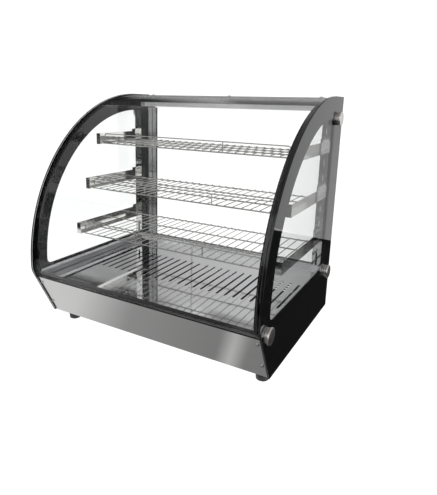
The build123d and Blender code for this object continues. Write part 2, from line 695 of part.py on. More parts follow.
DOOR_EDGE = TRACK_END - FIT
STILE_LOW = DECK_UNDER + TRACK_LOW_H + STILE_GAP
STILE_TOP = BEAM_UNDER - TRACK_TOP_H - STILE_GAP


def door_pane(side, groove_y):
    """Sliding glass pane standing in its two grooves."""
    with BuildPart() as pane:
        with BuildSketch(Plane.XZ.offset(-(groove_y + DOOR_PLAY))):
            spread(side * DOOR_EDGE, -side * DOOR_OVERLAP, DOOR_BOTTOM, DOOR_TOP)
        extrude(amount=-DOOR_T)
    return pane


def door_stile(side, groove_y, reach):
    """Metal edge clipped on the pane, with a pull that stands `reach` behind it."""
    outer = DOOR_EDGE + DOOR_PLAY
    with BuildPart() as stile:
        with BuildSketch(Plane.XY.offset(STILE_LOW)):
            spread(side * outer, side * (outer - STILE_W), groove_y, groove_y + TRACK_GROOVE)
            spread(
                side * DOOR_EDGE,
                side * (outer - STILE_W),
                groove_y + DOOR_PLAY,
                groove_y + DOOR_PLAY + DOOR_T,
                Mode.SUBTRACT,
            )
            pull_y = groove_y + TRACK_GROOVE
            spread(side * (outer - STILE_W), side * (outer - STILE_W + PULL_T), pull_y, pull_y + reach)
        extrude(amount=STILE_TOP - STILE_LOW)
    return stile


save(door_pane(-1, GROOVE_FRONT), "door_left")
save(door_pane(1, GROOVE_REAR), "door_right")
save(door_stile(-1, GROOVE_FRONT, TRACK_WALL), "door_stile_left")
save(door_stile(1, GROOVE_REAR, PULL_REACH), "door_stile_right")

# ---------------------------------------------------------------- rear panel and drawer
PANEL_SCREWS = [(x, z) for x in (-METAL_X + SCREW_EDGE, 0, METAL_X - SCREW_EDGE)
                for z in (FLOOR_TOP + SCREW_EDGE, PANEL_TOP - SCREW_EDGE)]
with BuildPart() as rear_panel:
    with BuildSketch(Plane.XZ.offset(-PANEL_Y)):
        spread(-METAL_X, METAL_X, FLOOR_Z, PANEL_TOP)
        spread(DRAWER_X0 - 1, DRAWER_X1 + 1, DRAWER_Z0 - 2, DRAWER_Z1 + 2, Mode.SUBTRACT)
        with Locations((KNOB_X, KNOB_Z)):
            small_round(SHAFT_D + 2, Mode.SUBTRACT)
        with Locations((POWER_X, SWITCH_Z), (LIGHT_X, SWITCH_Z)):
            Rectangle(SWITCH_W - SWITCH_RIM, SWITCH_H - SWITCH_RIM, mode=Mode.SUBTRACT)
        with Locations((PILOT_X, SWITCH_Z)):
            small_round(PILOT_D, Mode.SUBTRACT)
        with Locations((GLAND_X, GLAND_Z)):
            small_round(GLAND_TUBE_D, Mode.SUBTRACT)
        with Locations((WIDTH / 2 - REAR_VENT_SIDE_IN, GLAND_Z)):
            with GridLocations(0, REAR_VENT_PITCH, 1, REAR_VENT_COUNT):
                Rectangle(REAR_VENT_L, REAR_VENT_H, mode=Mode.SUBTRACT)
    extrude(amount=-SHEET)
save(rear_panel, "rear_panel")

with BuildPart() as panel_screws:
    with BuildSketch(Plane.XZ.offset(-PANEL_OUT)):
        with Locations(*PANEL_SCREWS):
            RegularPolygon(SCREW_HEAD_D / 2, 6)
    extrude(amount=-SCREW_HEAD_H)
save(panel_screws, "panel_screws")

with BuildPart() as water_drawer:
    with BuildSketch(Plane.XY.offset(DRAWER_Z0)):
        spread(DRAWER_X0, DRAWER_X1, DRAWER_FRONT, PANEL_OUT + FIT)
    extrude(amount=DRAWER_Z1 - DRAWER_Z0)
    fillet(water_drawer.edges().filter_by(Axis.Z).group_by(Axis.Y)[0], LIP)
    with BuildSketch(Plane.XY.offset(DRAWER_Z0 + DRAWER_WALL)):
        spread(
            DRAWER_X0 + DRAWER_WALL,
            DRAWER_X1 - DRAWER_WALL,
            DRAWER_FRONT + DRAWER_WALL,
            PANEL_OUT + FIT - DRAWER_WALL,
        )
    extrude(amount=DRAWER_Z1 - DRAWER_Z0, mode=Mode.SUBTRACT)
    with BuildSketch(Plane.XZ.offset(-(PANEL_OUT + FIT))):
        spread(
            DRAWER_X0 - DRAWER_LAP,
            DRAWER_X1 + DRAWER_LAP,
            DRAWER_Z0 - DRAWER_LAP,
            DRAWER_Z1 + DRAWER_LAP,
        )
    extrude(amount=-SHEET)
    drawer_mid = (DRAWER_X0 + DRAWER_X1) / 2
    handle_y = PANEL_OUT + FIT + SHEET
    with BuildSketch(Plane.YZ.offset(drawer_mid - 4 * LIP)):
        spread(handle_y, handle_y + HANDLE_REACH, DRAWER_Z1 - SHEET, DRAWER_Z1)
        tip_y = handle_y + HANDLE_REACH
        spread(tip_y - SHEET, tip_y, DRAWER_Z1 - LIP, DRAWER_Z1)
    extrude(amount=8 * LIP)
save(water_drawer, "water_drawer")

with BuildPart() as drawer_runners:
    for side, edge_x in ((-1, DRAWER_X0), (1, DRAWER_X1)):
        web = edge_x + side * RUNNER_GAP
        with BuildSketch(Plane.XZ.offset(-PANEL_Y)):
            spread(web, web + side * SHEET, FLOOR_TOP, DRAWER_Z0 + LIP)
            spread(web, web - side * LIP, DRAWER_Z0 - FIT - SHEET, DRAWER_Z0 - FIT)
            spread(web, web - side * LIP, FLOOR_TOP, FLOOR_TOP + SHEET)
        extrude(amount=DRAWER_RUNNER_L)
save(drawer_runners, "drawer_runners")

# ---------------------------------------------------------------- controls
KNOB_BASE = PANEL_OUT + 1
with BuildPart() as thermostat_knob:
    with BuildSketch(Plane.XZ.offset(-KNOB_BASE)):
        with Locations((KNOB_X, KNOB_Z)):
            Circle(KNOB_D / 2)
    extrude(amount=-(DEPTH / 2 - KNOB_BASE), taper=KNOB_TAPER)
    with BuildSketch(Plane.XZ.offset(-DEPTH / 2)):
        for side in (-1, 1):
            grip_edge = KNOB_X + side * KNOB_GRIP_W / 2
            spread(grip_edge, KNOB_X + side * KNOB_D, KNOB_Z - KNOB_D, KNOB_Z + KNOB_D)
    extrude(amount=KNOB_GRIP_L, mode=Mode.SUBTRACT)
    with BuildSketch(Plane.XZ.offset(-KNOB_BASE)):
        with Locations((KNOB_X, KNOB_Z)):
            Circle(SHAFT_D / 2)
    extrude(amount=SHAFT_L)
save(thermostat_knob, "thermostat_knob")

with BuildPart() as thermostat:
    with BuildSketch(Plane.XZ.offset(-PANEL_Y)):
        with Locations((KNOB_X, KNOB_Z)):
            Rectangle(THERMOSTAT_W, THERMOSTAT_H)
    extrude(amount=THERMOSTAT_L)
    with BuildSketch(Plane.XZ.offset(-PANEL_Y)):
        with Locations((KNOB_X, KNOB_Z)):
            Circle(SHAFT_D / 2 + SHAFT_PLAY)
    extrude(amount=SHAFT_L, mode=Mode.SUBTRACT)
    with BuildSketch(Plane.XZ.offset(THERMOSTAT_L - PANEL_Y)):
        with Locations((KNOB_X, KNOB_Z)):
            with GridLocations(TAB_PITCH, 0, 3, 1):
                Rectangle(TAB_W, TAB_T)
    extrude(amount=TAB_L)
save(thermostat, "thermostat")


def switch_body(x):
    """Snap-in switch housing with a window for its rocker."""
    with BuildPart() as body:
        with BuildSketch(Plane.XZ.offset(-(PANEL_OUT + BEZEL_T))):
            with Locations((x, SWITCH_Z)):
                Rectangle(SWITCH_W, SWITCH_H)
        extrude(amount=BEZEL_T)
        with BuildSketch(Plane.XZ.offset(-PANEL_OUT)):
            with Locations((x, SWITCH_Z)):
                Rectangle(SWITCH_W - 2 * SWITCH_RIM, SWITCH_H - 2 * SWITCH_RIM)
        extrude(amount=SWITCH_L)
        with BuildSketch(Plane.XZ.offset(-(PANEL_OUT + BEZEL_T))):
            with Locations((x, SWITCH_Z)):
                Rectangle(ROCKER_W + 2 * FIT, 2 * ROCKER_R + 4 * FIT)
        extrude(amount=2 * ROCKER_R, mode=Mode.SUBTRACT)
    return body


PIVOT_Y = PANEL_OUT + BEZEL_T - PIVOT_DEPTH


def rocker(x):
    """Rocker with a hollow face, turning about an axis along X."""
    with BuildPart() as key:
        with BuildSketch(Plane.YZ.offset(x - ROCKER_W / 2)):
            with Locations((PIVOT_Y, SWITCH_Z)):
                Circle(ROCKER_R)
            face_y = PIVOT_Y + ROCKER_R / 2
            spread(face_y, face_y + ROCKER_R, SWITCH_Z - ROCKER_R, SWITCH_Z + ROCKER_R, Mode.SUBTRACT)
            with BuildLine():
                Polyline(
                    (face_y, SWITCH_Z - ROCKER_R),
                    (face_y - ROCKER_R / 4, SWITCH_Z),
                    (face_y, SWITCH_Z + ROCKER_R),
                    close=True,
                )
            make_face(mode=Mode.SUBTRACT)
        extrude(amount=ROCKER_W)
    return key


save(switch_body(POWER_X), "power_switch")
save(switch_body(LIGHT_X), "light_switch")
save(rocker(POWER_X), "power_rocker")
save(rocker(LIGHT_X), "light_rocker")

with BuildPart() as pilot_lamp:
    with BuildSketch(Plane.XZ.offset(-PANEL_OUT)):
        with Locations((PILOT_X, SWITCH_Z)):
            small_round(PILOT_D + 2)
    extrude(amount=-BEZEL_T)
    with BuildSketch(Plane.XZ.offset(-PANEL_OUT)):
        with Locations((PILOT_X, SWITCH_Z)):
            small_round(PILOT_D)
    extrude(amount=PILOT_L)
save(pilot_lamp, "pilot_lamp")

with BuildPart() as cord_gland:
    with BuildSketch(Plane.XZ.offset(-PANEL_OUT)):
        with Locations((GLAND_X, GLAND_Z)):
            RegularPolygon(GLAND_D / 2 + 1, 6)
    extrude(amount=-GLAND_NUT_T)
    with BuildSketch(Plane.XZ.offset(-(PANEL_OUT + GLAND_REACH))):
        with Locations((GLAND_X, GLAND_Z)):
            small_round(GLAND_TUBE_D)
    extrude(amount=GLAND_REACH + GLAND_INSIDE)
    with BuildSketch(Plane.XZ.offset(-(PANEL_OUT + GLAND_REACH))):
        with Locations((GLAND_X, GLAND_Z)):
            small_round(CORD_BORE)
    extrude(amount=GLAND_REACH + GLAND_INSIDE, mode=Mode.SUBTRACT)
save(cord_gland, "cord_gland")

# ---------------------------------------------------------------- heater
with BuildPart() as heating_element:
    front_run, rear_run = ELEMENT_Y
    with BuildLine(Plane.XY.offset(ELEMENT_Z)):
        tube = FilletPolyline(
            (ELEMENT_X, front_run),
            (-ELEMENT_X, front_run),
            (-ELEMENT_X, rear_run),
            (ELEMENT_X, rear_run),
            radius=(rear_run - front_run) / 2 - 1,
        )
    with BuildSketch(Plane(origin=tube @ 0, x_dir=(0, 1, 0), z_dir=tube % 0)):
        RegularPolygon(ELEMENT_D / 2, 6)
    sweep(path=tube)
    with BuildSketch(Plane.YZ.offset(ELEMENT_X)):
        with Locations((front_run, ELEMENT_Z), (rear_run, ELEMENT_Z)):
            RegularPolygon(ELEMENT_D / 4, 6)
    extrude(amount=LIP)
save(heating_element, "heating_element")

SUPPORT_REACH = 14
with BuildPart() as element_supports:
    for x in (-ELEMENT_X / 2, 0, ELEMENT_X / 2, ELEMENT_X - LIP):
        with BuildSketch(Plane.YZ.offset(x)):
            spread(front_run - SUPPORT_REACH, rear_run + SUPPORT_REACH, FLOOR_TOP, ELEMENT_Z)
            with Locations((front_run, ELEMENT_Z), (rear_run, ELEMENT_Z)):
                RegularPolygon(ELEMENT_D / 2, 6, mode=Mode.SUBTRACT)
        extrude(amount=SHEET)
        with BuildSketch(Plane.XY.offset(FLOOR_TOP)):
            spread(x, x + LIP, front_run - SUPPORT_REACH, rear_run + SUPPORT_REACH)
        extrude(amount=SHEET)
save(element_supports, "element_supports")

TERMINAL_SPOT = (WIDTH / 2 - TERMINAL_SIDE_IN, REAR_Y - TERMINAL_REAR_IN)
with BuildPart() as terminal_block:
    with BuildSketch(Plane.XY.offset(FLOOR_TOP)):
        with Locations(TERMINAL_SPOT):
            Rectangle(TERMINAL_W, TERMINAL_D)
    extrude(amount=TERMINAL_H)
    with BuildSketch(Plane.XY.offset(FLOOR_TOP + TERMINAL_H)):
        with Locations(TERMINAL_SPOT):
            with GridLocations(TERMINAL_PITCH, 0, 4, 1):
                Rectangle(TERMINAL_POLE_W, TERMINAL_POLE_D)
    extrude(amount=TERMINAL_POLE_H)
save(terminal_block, "terminal_block")

# ---------------------------------------------------------------- feet
with BuildPart() as feet:
    for spot in [(x, y) for x in FOOT_X for y in FOOT_Y]:
        with BuildSketch():
            with Locations(spot):
                RegularPolygon(FOOT_TOE_D / 2, ROUND_SIDES)
        with BuildSketch(Plane.XY.offset(FLOOR_Z)):
            with Locations(spot):
                RegularPolygon(FOOT_D / 2, ROUND_SIDES)
        loft()
save(feet, "feet")
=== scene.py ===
import json
from math import cos, pi, radians, sin, tan

import bmesh
import bpy
from mathutils import Matrix, Vector


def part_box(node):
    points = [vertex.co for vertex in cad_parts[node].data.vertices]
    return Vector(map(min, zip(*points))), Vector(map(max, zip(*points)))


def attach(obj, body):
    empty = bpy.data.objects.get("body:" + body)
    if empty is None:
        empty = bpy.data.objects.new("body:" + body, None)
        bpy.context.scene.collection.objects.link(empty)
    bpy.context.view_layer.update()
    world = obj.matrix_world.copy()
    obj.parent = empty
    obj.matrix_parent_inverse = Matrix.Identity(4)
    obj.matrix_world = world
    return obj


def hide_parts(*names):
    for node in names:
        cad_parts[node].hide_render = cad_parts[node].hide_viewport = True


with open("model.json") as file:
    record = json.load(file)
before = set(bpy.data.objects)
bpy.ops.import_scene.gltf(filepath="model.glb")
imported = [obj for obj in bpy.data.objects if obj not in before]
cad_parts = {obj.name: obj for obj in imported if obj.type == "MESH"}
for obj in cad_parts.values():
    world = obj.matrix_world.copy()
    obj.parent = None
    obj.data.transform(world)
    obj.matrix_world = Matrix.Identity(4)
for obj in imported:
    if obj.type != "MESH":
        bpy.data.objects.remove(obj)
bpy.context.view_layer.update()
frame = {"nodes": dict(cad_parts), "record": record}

MM = 0.001


# ---------------------------------------------------------------- camera
F_PX, CX, CY = 457.27, 203.65, 210.89
IMAGE_W, IMAGE_H = 437, 495
AZ, EL, ROLL = radians(29.31), radians(13.17), radians(1.37)
CAM_AT = Vector((0.67145, -1.11873, 0.64905))
SENSOR = 36

forward = Vector((-sin(AZ) * cos(EL), cos(AZ) * cos(EL), -sin(EL)))
level = forward.cross(Vector((0, 0, 1))).normalized()
upright = level.cross(forward)
cam_x = cos(ROLL) * level + sin(ROLL) * upright
cam_y = cos(ROLL) * upright - sin(ROLL) * level

camera_data = bpy.data.cameras.new("camera")
camera = bpy.data.objects.new("camera", camera_data)
bpy.context.scene.collection.objects.link(camera)
rotation = Matrix((cam_x, cam_y, -forward)).transposed().to_4x4()
camera.matrix_world = Matrix.Translation(CAM_AT) @ rotation
camera_data.sensor_width = SENSOR
camera_data.lens = F_PX / IMAGE_H * SENSOR
camera_data.shift_x = (IMAGE_W / 2 - CX) / IMAGE_H
camera_data.shift_y = (CY - IMAGE_H / 2) / IMAGE_H
camera_data.clip_start = 0.01
camera_data.clip_end = 50
bpy.context.scene.camera = camera


# ---------------------------------------------------------------- side outline
def box_mm(node):
    """Corners of a CAD node in millimetres: (x0, y0, z0), (x1, y1, z1)."""
    low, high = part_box(node)
    return [c / MM for c in low], [c / MM for c in high]


side_low, side_high = box_mm("side_glass_right")
INNER_X, OUTER_X = side_low[0], side_high[0]
FRONT_Y, REAR_Y = side_low[1], side_high[1]
FOOT_H, HEIGHT = side_low[2], side_high[2]
TOP_FLAT, UPRIGHT_Z, BEND_R = 83.4, 192.4, 60
CROWN_ANGLE, LEAN = radians(43), radians(26.6)
CROWN_Y = REAR_Y - TOP_FLAT
CURVE_D, CURVE_H = CROWN_Y - FRONT_Y, HEIGHT - UPRIGHT_Z
ARC_STEP = (CURVE_H - CURVE_D) / (sin(CROWN_ANGLE) + cos(CROWN_ANGLE) - 1)
FRONT_R = CURVE_D + ARC_STEP * sin(CROWN_ANGLE)
CROWN_R = FRONT_R - ARC_STEP
ARC_PIECES, BEND_PIECES = 36, 8


def arc(center, radius, start, end, pieces):
    """Points of an arc in (y, z); angles are measured from +z towards -y."""
    angles = [start + (end - start) * i / pieces for i in range(pieces + 1)]
    return [(center[0] - radius * sin(a), center[1] + radius * cos(a)) for a in angles]


def front_edge(inset, low_z, fine=1):
    """The curved front edge in (y, z), inset inside the side outline, down to low_z."""
    crown_center = (CROWN_Y, HEIGHT - CROWN_R)
    front_center = (FRONT_Y + FRONT_R, UPRIGHT_Z)
    bend_center = (FRONT_Y + BEND_R, UPRIGHT_Z)
    arc_pieces, bend_pieces = int(ARC_PIECES * fine), int(BEND_PIECES * fine)
    points = arc(crown_center, CROWN_R - inset, 0, CROWN_ANGLE, arc_pieces)
    points += arc(front_center, FRONT_R - inset, CROWN_ANGLE, pi / 2, arc_pieces)[1:]
    points += arc(bend_center, BEND_R - inset, pi / 2, pi / 2 + LEAN, bend_pieces)[1:]
    y, z = points[-1]
    points.append((y + (z - low_z) * tan(LEAN), low_z))
    return points


def circle(center, radius, pieces=24):
    angles = [2 * pi * i / pieces for i in range(pieces)]
    return [(center[0] + radius * cos(a), center[1] + radius * sin(a)) for a in angles]


def quarter(center, radius, start):
    """Quarter circle from the angle start in degrees, anticlockwise."""
    angles = [radians(start + 90 * k / BEND_PIECES) for k in range(BEND_PIECES + 1)]
    return [(center[0] + radius * cos(a), center[1] + radius * sin(a)) for a in angles]


# ---------------------------------------------------------------- node helpers
MIX_A, MIX_B, MIX_RESULT = 6, 7, 2  # colour sockets of the mix node
WAVE_SCALE, WAVE_HEIGHT = 14, 60
BRUSH_SCALE, BRUSH_DEPTH, ANISOTROPY = 900, 0.00015, 0.4
GRAIN_DEPTH, GLOSS_CHANGE = 0.0004, 0.15


def material(name):
    """A new node material with its tree and its Principled shader."""
    mat = bpy.data.materials.new(name)
    mat.use_nodes = True
    return mat, mat.node_tree, mat.node_tree.nodes["Principled BSDF"]


def bare_tree(owner, output="ShaderNodeOutputMaterial"):
    """The emptied node tree of a material or world, and its output's surface socket."""
    owner.use_nodes = True
    tree = owner.node_tree
    tree.nodes.clear()
    return tree, tree.nodes.new(output).inputs["Surface"]


def put(tree, kind, inputs=None, **settings):
    """A new node; inputs are socket values by name, settings are the node's own properties."""
    node = tree.nodes.new(kind)
    for key, value in settings.items():
        setattr(node, key, value)
    for key, value in (inputs or {}).items():
        node.inputs[key].default_value = value
    return node


def maths(tree, operation, *terms):
    """A math node; each term is a number or a socket."""
    node = put(tree, "ShaderNodeMath", operation=operation)
    for socket, term in zip(node.inputs, terms):
        if isinstance(term, (int, float)):
            socket.default_value = term
        else:
            tree.links.new(term, socket)
    return node.outputs[0]


def ramp(tree, source, low, high, at=(0.0, 1.0)):
    """Maps source from the range at to low..high."""
    values = {"From Min": at[0], "From Max": at[1], "To Min": low, "To Max": high}
    node = put(tree, "ShaderNodeMapRange", values)
    tree.links.new(source, node.inputs["Value"])
    return node.outputs["Result"]


def mix_colour(tree, factor, a, b):
    node = put(tree, "ShaderNodeMix", data_type="RGBA")
    node.inputs[MIX_A].default_value = (*a, 1)
    node.inputs[MIX_B].default_value = (*b, 1)
    tree.links.new(factor, node.inputs[0])
    return node.outputs[MIX_RESULT]


def mix_shader(tree, factor, a, b):
    node = tree.nodes.new("ShaderNodeMixShader")
    for source, socket in zip((factor, a, b), node.inputs):
        tree.links.new(source, socket)
    return node.outputs[0]


def grain(tree, scale, stretch=(1, 1, 1), detail=4, rough=0.55):
    """Noise in object space, stretched along the axes."""
    coords = tree.nodes.new("ShaderNodeTexCoord")
    mapping = put(tree, "ShaderNodeMapping", {"Scale": stretch})
    noise = put(tree, "ShaderNodeTexNoise", {"Scale": scale, "Detail": detail, "Roughness": rough})
    tree.links.new(coords.outputs["Object"], mapping.inputs["Vector"])
    tree.links.new(mapping.outputs["Vector"], noise.inputs["Vector"])
    return noise.outputs["Fac"]


def bump(tree, shader, height, strength, depth):
    node = put(tree, "ShaderNodeBump", {"Strength": strength, "Distance": depth})
    tree.links.new(height, node.inputs["Height"])
    tree.links.new(node.outputs["Normal"], shader.inputs["Normal"])


def darker(colour, share):
    return tuple(c * (1 - share) for c in colour)


def along(axis, share):
    """Noise stretch that draws lines along an axis."""
    return tuple(share if name == axis else 1 for name in "xyz")


def brushed(name, colour, rough, lines, strength=0.15, spread=0.1, streak=0.12, wavy=False):
    """Brushed steel or aluminium; lines is the noise stretch, long along the brushing."""
    mat, tree, shader = material(name)
    shader.inputs["Metallic"].default_value = 1
    shader.inputs["Anisotropic"].default_value = ANISOTROPY
    fine = grain(tree, BRUSH_SCALE, lines, detail=6, rough=0.7)
    broad = grain(tree, 6, detail=3)
    base = mix_colour(tree, fine, darker(colour, streak), colour)
    tree.links.new(base, shader.inputs["Base Color"])
    small = ramp(tree, fine, -spread, spread)
    large = ramp(tree, broad, rough - spread / 2, rough + spread / 2)
    tree.links.new(maths(tree, "ADD", small, large), shader.inputs["Roughness"])
    height = fine
    if wavy:
        swell = grain(tree, WAVE_SCALE, detail=1, rough=0.3)
        height = maths(tree, "MULTIPLY_ADD", swell, WAVE_HEIGHT, fine)
    bump(tree, shader, height, strength, BRUSH_DEPTH)
    return mat


def plain(name, colour, rough, size=400, strength=0.1, metallic=0.0, vary=0.12):
    """Moulded, painted or plated surface; size is the scale of its fine grain."""
    mat, tree, shader = material(name)
    shader.inputs["Metallic"].default_value = metallic
    shader.inputs["IOR"].default_value = 1.5
    fine = grain(tree, size, detail=5)
    broad = grain(tree, 9, detail=3)
    base = mix_colour(tree, broad, darker(colour, vary), colour)
    tree.links.new(base, shader.inputs["Base Color"])
    gloss = ramp(tree, fine, rough * (1 - GLOSS_CHANGE), rough * (1 + GLOSS_CHANGE))
    tree.links.new(gloss, shader.inputs["Roughness"])
    bump(tree, shader, fine, strength, GRAIN_DEPTH)
    return mat


def clear_glass(name, tint, ior):
    """Sheet glass: light passes straight through, and the surface reflects by its angle."""
    mat = bpy.data.materials.new(name)
    tree, surface = bare_tree(mat)
    through = tree.nodes.new("ShaderNodeBsdfTransparent")
    mirror = put(tree, "ShaderNodeBsdfGlossy", {"Roughness": 0})
    fresnel = tree.nodes.new("ShaderNodeFresnel")
    facing = tree.nodes.new("ShaderNodeNewGeometry")
    either_way = ramp(tree, facing.outputs["Backfacing"], ior, 1 / ior)
    tree.links.new(either_way, fresnel.inputs["IOR"])
    haze = grain(tree, 5, detail=2)
    clearer = tuple(min(1, c * 1.01) for c in tint)
    tree.links.new(mix_colour(tree, haze, tint, clearer), through.inputs["Color"])
    both = mix_shader(tree, fresnel.outputs[0], through.outputs[0], mirror.outputs[0])
    tree.links.new(both, surface)
    return mat


def opal_plastic(name, dull, bright, glow, glow_colour):
    """Lamp cover that gives off a little light."""
    mat, tree, shader = material(name)
    cloud = grain(tree, 30, detail=3)
    tree.links.new(mix_colour(tree, cloud, dull, bright), shader.inputs["Base Color"])
    shader.inputs["Roughness"].default_value = 0.45
    shader.inputs["Emission Color"].default_value = (*glow_colour, 1)
    shader.inputs["Emission Strength"].default_value = glow
    return mat


# ---------------------------------------------------------------- materials
STEEL = (0.72, 0.72, 0.73)
DULL_STEEL = (0.5, 0.5, 0.51)
THIN_TINT = (0.995, 0.997, 0.996)
M = {
    "fascia": brushed(
        "fascia_steel", (0.74, 0.735, 0.73), 0.2, along("x", 0.02), strength=0.1, spread=0.08),
    "sheet": brushed("sheet_steel", (0.4, 0.4, 0.41), 0.45, along("y", 0.03)),
    "panel": brushed("panel_steel", STEEL, 0.3, along("x", 0.02)),
    "deck": brushed(
        "deck_steel", (0.8, 0.8, 0.81), 0.05, along("y", 0.03),
        strength=0.02, spread=0.02, streak=0.04, wavy=True),
    "trim": brushed("trim_steel", STEEL, 0.26, along("y", 0.02)),
    "pillar": brushed(
        "pillar_steel", (0.6, 0.6, 0.6), 0.05, along("z", 0.02), strength=0.02, spread=0.02),
    "beam": brushed("beam_steel", DULL_STEEL, 0.25, along("x", 0.02)),
    "bracket": brushed(
        "bracket_steel", (0.76, 0.76, 0.74), 0.07, along("y", 0.03),
        strength=0.03, spread=0.04, streak=0.06, wavy=True),
    "chrome": plain(
        "shelf_chrome", (0.6, 0.6, 0.575), 0.12, 300, strength=0.03, metallic=1, vary=0.1),
    "cap": brushed(
        "cap_steel", (0.74, 0.72, 0.7), 0.36, along("z", 0.05), strength=0.08, spread=0.06),
    "screw": plain("screw_steel", DULL_STEEL, 0.3, 500, strength=0.05, metallic=1),
    "rubber": plain("black_rubber", (0.012, 0.012, 0.013), 0.55, 900, strength=0.25),
    "black": plain("black_plastic", (0.022, 0.022, 0.024), 0.42, 1200, strength=0.15),
    "rocker": plain("rocker_plastic", (0.02, 0.02, 0.022), 0.22, 900, strength=0.05),
    "pilot": plain("pilot_lens", (0.75, 0.16, 0.02), 0.15, 300, strength=0.03),
    "terminal": plain("terminal_plastic", (0.75, 0.74, 0.7), 0.5, 700),
    "element": plain(
        "element_sheath", (0.16, 0.14, 0.13), 0.5, 500, strength=0.2, metallic=0.7),
    "alu": brushed(
        "anodised_aluminium", (0.78, 0.78, 0.79), 0.3, along("x", 0.03),
        strength=0.06, spread=0.06),
    "stile": brushed(
        "stile_aluminium", DULL_STEEL, 0.2, along("z", 0.03), strength=0.06, spread=0.06),
    "print": plain("black_print", (0.004, 0.004, 0.005), 0.05, 800, strength=0.004, vary=0.2),
    "edge": plain("printed_glass_edge", (0.006, 0.006, 0.007), 0.12, 500, strength=0.03),
    "side_glass": clear_glass("side_glass_clear", (0.985, 0.99, 0.988), 1.5),
    "front_glass": clear_glass("front_glass_clear", THIN_TINT, 1.16),
    "door_glass": clear_glass("door_glass_clear", THIN_TINT, 1.14),
    "opal": opal_plastic(
        "opal_cover", (0.78, 0.78, 0.79), (0.84, 0.84, 0.85), 0.22, (1, 0.99, 0.97)),
}
MATERIAL_NODES = {
    "fascia": "fascia",
    "sheet": "chassis cross_member drawer_runners element_supports",
    "panel": "rear_panel water_drawer",
    "deck": "deck",
    "trim": "deck_trim_left deck_trim_right",
    "pillar": "pillar_left pillar_right",
    "beam": "top_beam",
    "bracket": "bracket_top_left bracket_top_right bracket_middle_left bracket_middle_right "
               "bracket_bottom_left bracket_bottom_right",
    "chrome": "shelf_top shelf_middle shelf_bottom",
    "cap": "side_caps_left side_caps_right",
    "screw": "fascia_screws beam_screws panel_screws pillar_screws cap_nuts",
    "rubber": "glass_gasket glass_washers feet",
    "black": "thermostat_knob thermostat power_switch light_switch cord_gland",
    "rocker": "power_rocker light_rocker",
    "pilot": "pilot_lamp",
    "terminal": "terminal_block led_strip",
    "element": "heating_element",
    "alu": "lamp_base track_bottom track_top",
    "stile": "door_stile_left door_stile_right",
    "side_glass": "side_glass_left side_glass_right",
    "front_glass": "front_glass",
    "door_glass": "door_left door_right",
    "opal": "lamp_diffuser",
}


def paint(obj, mat):
    obj.data.materials.clear()
    obj.data.materials.append(mat)


for material_name, node_names in MATERIAL_NODES.items():
    for node_name in node_names.split():
        paint(frame["nodes"][node_name], M[material_name])


# ---------------------------------------------------------------- mesh helpers
BODIES = frame["record"]["behaviour"]["bodies"]
ROOT = next(name for name, nodes in BODIES.items() if "chassis" in nodes)


def add_piece(name, mesh, mats, body=ROOT):
    obj = bpy.data.objects.new(name, mesh)
    bpy.context.scene.collection.objects.link(obj)
    for mat in mats:
        mesh.materials.append(mat)
    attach(obj, body)
    return obj


def curve_mesh(name, dimensions, runs, **settings):
    """Mesh of a curve; each run is (point size, closed, points in millimetres)."""
    curve = bpy.data.curves.new(name, "CURVE")
    curve.dimensions = dimensions
    for key, value in settings.items():
        setattr(curve, key, value)
    for size, closed, points in runs:
        spline = curve.splines.new("POLY")
        spline.points.add(len(points) - 1)
        for point, at in zip(spline.points, points):
            point.co = (at[0] * MM, at[1] * MM, at[2] * MM, 1)
            point.radius = size
        spline.use_cyclic_u = closed
    holder = bpy.data.objects.new(name, curve)
    mesh = bpy.data.meshes.new_from_object(holder)
    bpy.data.objects.remove(holder)
    bpy.data.curves.remove(curve)
    mesh.name = name
    return mesh


def plate(name, loops, x0, x1, bevel=0.0):
    """A flat plate in the YZ plane from closed (y, z) outlines; inner outlines become holes."""
    runs = [(1, True, [(y, z, 0) for y, z in loop]) for loop in loops]
    mesh = curve_mesh(
        name, "2D", runs, fill_mode="BOTH", extrude=abs(x1 - x0) / 2 * MM - bevel * MM,
        bevel_depth=bevel * MM, bevel_resolution=2, offset=-bevel * MM)
    middle = (x0 + x1) / 2 * MM
    mesh.transform(Matrix(((0, 0, 1, middle), (1, 0, 0, 0), (0, 1, 0, 0), (0, 0, 0, 1))))
    work = bmesh.new()
    work.from_mesh(mesh)
    bmesh.ops.remove_doubles(work, verts=work.verts, dist=1e-6)
    bmesh.ops.recalc_face_normals(work, faces=work.faces)
    work.to_mesh(mesh)
    work.free()
    return mesh


# ---------------------------------------------------------------- side glasses and their prints
CAP_POINTS = ((FRONT_Y + 40, 158), (REAR_Y - 46, 159), (REAR_Y - 54, HEIGHT - 61))
BORE_R, PRINT_HOLE_R = 4.5, 5
GROUND_EDGE, PRINT_INSET = 0.5, 1
BAND = 55
WINDOW_REAR, WINDOW_LOW, WINDOW_CORNER = 188, 184, 14
FILM_IN, FILM_T = 0.25, 0.15
SIDEWAYS = 0.98  # faces that look this much along x belong to the flat sides of a pane


def side_outline(inset):
    rear, low = REAR_Y - inset, FOOT_H + inset
    return front_edge(inset, low) + [(rear, low), (rear, HEIGHT - inset)]


def window_outline():
    """The clear window: a band inside the curve, straight at the rear and the bottom."""
    curve = front_edge(BAND, WINDOW_LOW - BEND_R, 1.5)
    rear, low = WINDOW_REAR - WINDOW_CORNER, WINDOW_LOW + WINDOW_CORNER
    bow = [p for p in curve if p[0] < rear and p[1] > low]
    corners = ((rear, curve[0][1] - WINDOW_CORNER), (bow[-1][0] + WINDOW_CORNER, low), (rear, low))
    top, front, bottom = (quarter(at, WINDOW_CORNER, start)
                          for at, start in zip(corners, (0, 180, 270)))
    return top + bow + front + bottom


